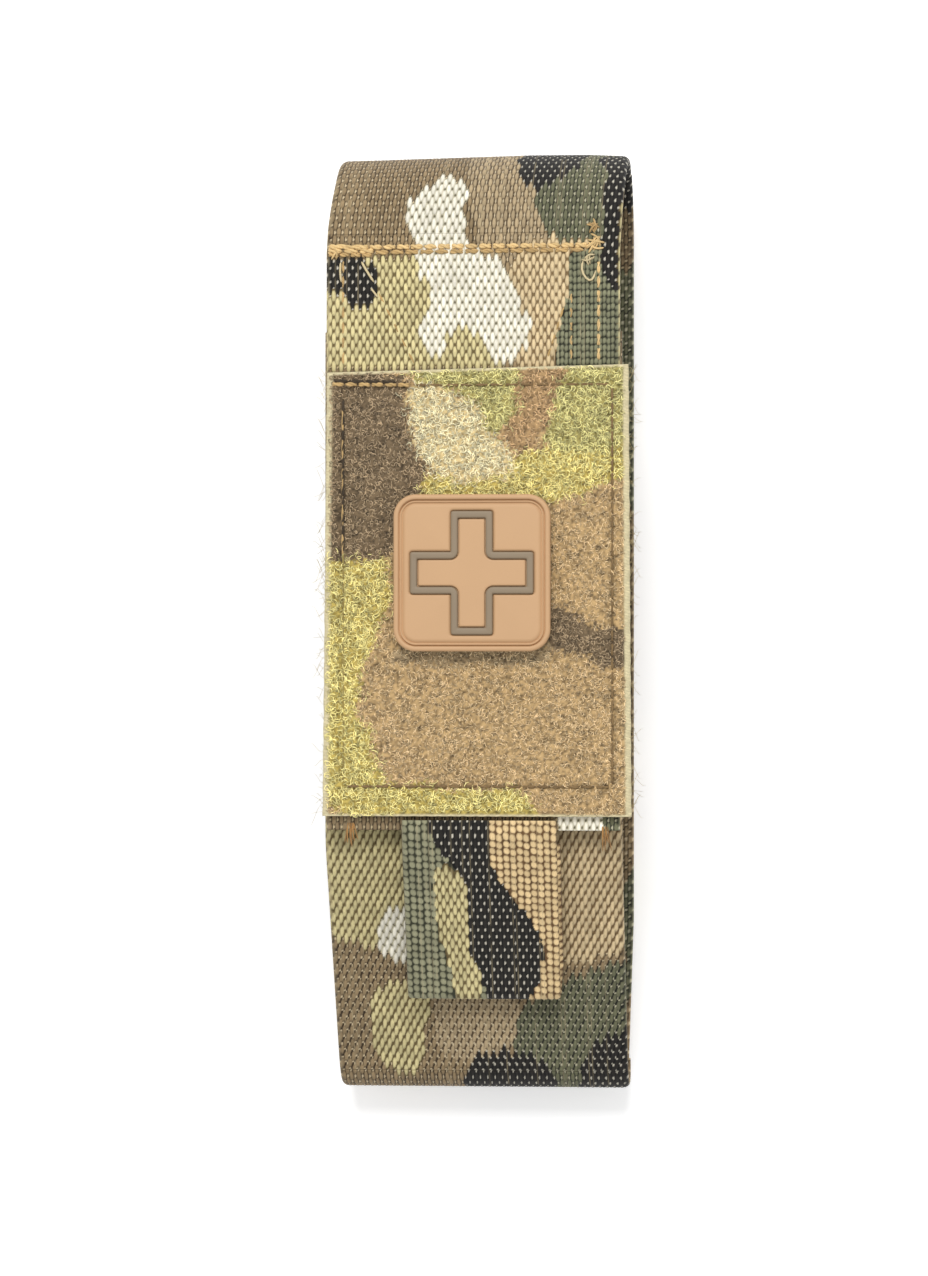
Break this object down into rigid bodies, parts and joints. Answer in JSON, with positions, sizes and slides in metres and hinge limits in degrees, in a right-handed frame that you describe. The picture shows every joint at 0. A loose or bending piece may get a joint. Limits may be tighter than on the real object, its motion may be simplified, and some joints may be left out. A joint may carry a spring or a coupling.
{
  "type": "tourniquet pouch",
  "caption": "Webbing tourniquet pouch with a fold-over flap, loop field, pull tab and cross patch, holding a folded windlass tourniquet.",
  "frame": {"origin": "on the surface that the pouch lies on, under the middle of its outline", "axes": "+X across the webbing to the viewer's right, +Y along the pouch towards the top fold, +Z out of the front of the pouch"},
  "size_m": [0.0516, 0.163, 0.0381],
  "materials": {
    "camouflage_webbing": "woven jacquard camouflage",
    "printed_loop_pile": "brushed loop pile",
    "tan_tape": "woven tape",
    "tan_moulding": "soft matte moulding",
    "grey_brown_moulding": "soft matte moulding",
    "blackened_metal": "blackened, lightly worn",
    "black_webbing": "woven",
    "black_plastic": "fine moulded texture",
    "orange_tip": "matte"
  },
  "bodies": {
    "pouch": {"body_webbing": "camouflage_webbing", "front_loop_panel": "tan_tape", "belt_strap_sewn_end": "tan_tape", "snap_stud": "blackened_metal", "snap_post": "blackened_metal"},
    "fold_a": {"fold_1": "camouflage_webbing"},
    "fold_b": {"fold_2": "camouflage_webbing"},
    "flap": {"flap_webbing": "camouflage_webbing", "flap_hook_panel": "tan_tape", "flap_loop_field": "printed_loop_pile"},
    "tab": {"pull_tab": "camouflage_webbing"},
    "patch": {"patch_hook_backing": "tan_tape", "patch_base": "tan_moulding", "patch_cross_outline": "grey_brown_moulding", "patch_cross_fill": "tan_moulding"},
    "strap": {"belt_strap": "tan_tape", "snap_cap": "blackened_metal", "snap_socket": "blackened_metal"},
    "tourniquet": {"tq_strap": "black_webbing", "tq_strap_tip": "orange_tip", "tq_keeper_band": "black_webbing", "tq_plate": "black_plastic", "tq_tension_band": "black_webbing", "windlass_clip": "black_plastic"},
    "windlass": {"windlass_rod": "black_plastic", "windlass_band": "black_webbing"},
    "buckle": {"tq_buckle": "black_plastic"}
  },
  "joints": [
    {"name": "flap_open", "type": "hinge", "parent": "pouch", "child": "fold_a", "pos_m": [0, 0.0743, 0.00603], "axis": [-1, 0, 0], "range_deg": [0, 60]},
    {"name": "flap_roll_2", "type": "hinge", "parent": "fold_a", "child": "fold_b", "pos_m": [0, 0.0815, 0.0185], "axis": [-1, 0, 0], "range_deg": [0, 60]},
    {"name": "flap_roll_3", "type": "hinge", "parent": "fold_b", "child": "flap", "pos_m": [0, 0.0743, 0.03097], "axis": [-1, 0, 0], "range_deg": [0, 60]},
    {"name": "pull_tab_lift", "type": "hinge", "parent": "flap", "child": "tab", "pos_m": [0, -0.0338, 0.0344], "axis": [-1, 0, 0], "range_deg": [0, 140]},
    {"name": "patch_peel", "type": "slide", "parent": "flap", "child": "patch", "axis": [0, 0, 1], "range_m": [0, 0.02]},
    {"name": "belt_strap_open", "type": "hinge", "parent": "pouch", "child": "strap", "pos_m": [0, 0.042, 0.0009], "axis": [1, 0, 0], "range_deg": [0, 120]},
    {"name": "tourniquet_out", "type": "slide", "parent": "pouch", "child": "tourniquet", "axis": [1, 0, 0], "range_m": [0, 0.06]},
    {"name": "windlass_turn", "type": "hinge", "parent": "tourniquet", "child": "windlass", "pos_m": [0, 0.015, 0.0226], "axis": [0, 0, -1], "range_deg": [0, 150]},
    {"name": "buckle_tilt", "type": "hinge", "parent": "tourniquet", "child": "buckle", "pos_m": [0, -0.049, 0.017], "axis": [1, 0, 0], "range_deg": [0, 12]}
  ],
  "couplings": [
    {"joint": "flap_roll_2", "follows": "flap_open", "ratio": 1},
    {"joint": "flap_roll_3", "follows": "flap_open", "ratio": 1}
  ]
}
